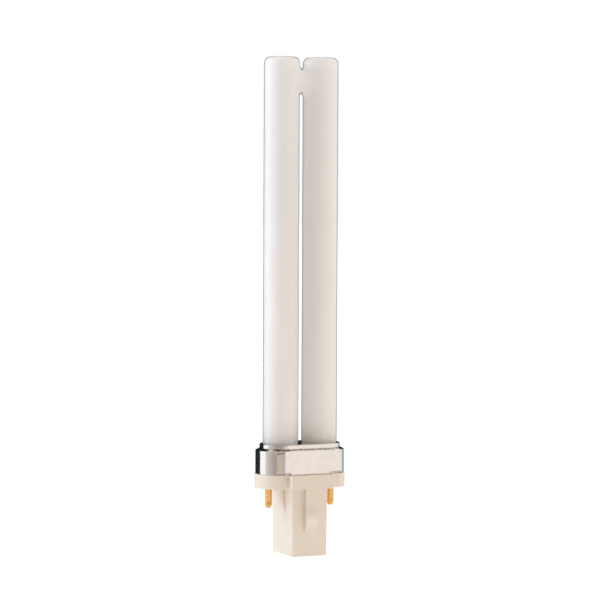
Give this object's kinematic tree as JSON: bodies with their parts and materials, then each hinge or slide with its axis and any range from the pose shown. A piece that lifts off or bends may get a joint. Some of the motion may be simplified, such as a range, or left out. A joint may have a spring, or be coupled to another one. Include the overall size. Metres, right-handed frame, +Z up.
{
  "type": "u shaped fluorescent bulb",
  "caption": "Compact fluorescent lamp: two straight white tubes joined near the top, a metal collar, and a plastic cap with a square post and contact pins.",
  "frame": {"origin": "centre of the flat bottom of the post, which the lamp stands on", "axes": "+Z runs up the tubes away from the cap; X runs through both tubes and both contact pins; Y is across them"},
  "size_m": [0.0318, 0.022, 0.167],
  "materials": {
    "opal_glass": "glossy glass over an opaque white powder coat",
    "collar_aluminium": "bright drawn sheet",
    "cap_plastic": "satin moulded plastic, cream white",
    "cement": "dull basing cement",
    "starter_glass": "clear sealed glass",
    "capacitor_coat": "dipped coating",
    "pin_brass": "drawn brass, lightly tarnished",
    "lead_wire": "nickel-plated wire",
    "sleeve_brass": "plain brass tube"
  },
  "bodies": {
    "root": {"twin_tube": "opal_glass", "tube_collar": "collar_aluminium", "cap_housing": "cap_plastic", "basing_cement": "cement", "starter_bottle": "starter_glass", "suppression_capacitor": "capacitor_coat", "contact_pin_left": "pin_brass", "contact_pin_right": "pin_brass", "starter_lead_left": "lead_wire", "starter_lead_right": "lead_wire", "capacitor_lead_left": "lead_wire", "capacitor_lead_right": "lead_wire", "pin_lead_left": "lead_wire", "pin_lead_right": "lead_wire", "tube_lead_left": "lead_wire", "tube_lead_right": "lead_wire", "splice_sleeve_left": "sleeve_brass", "splice_sleeve_right": "sleeve_brass"}
  },
  "joints": []
}
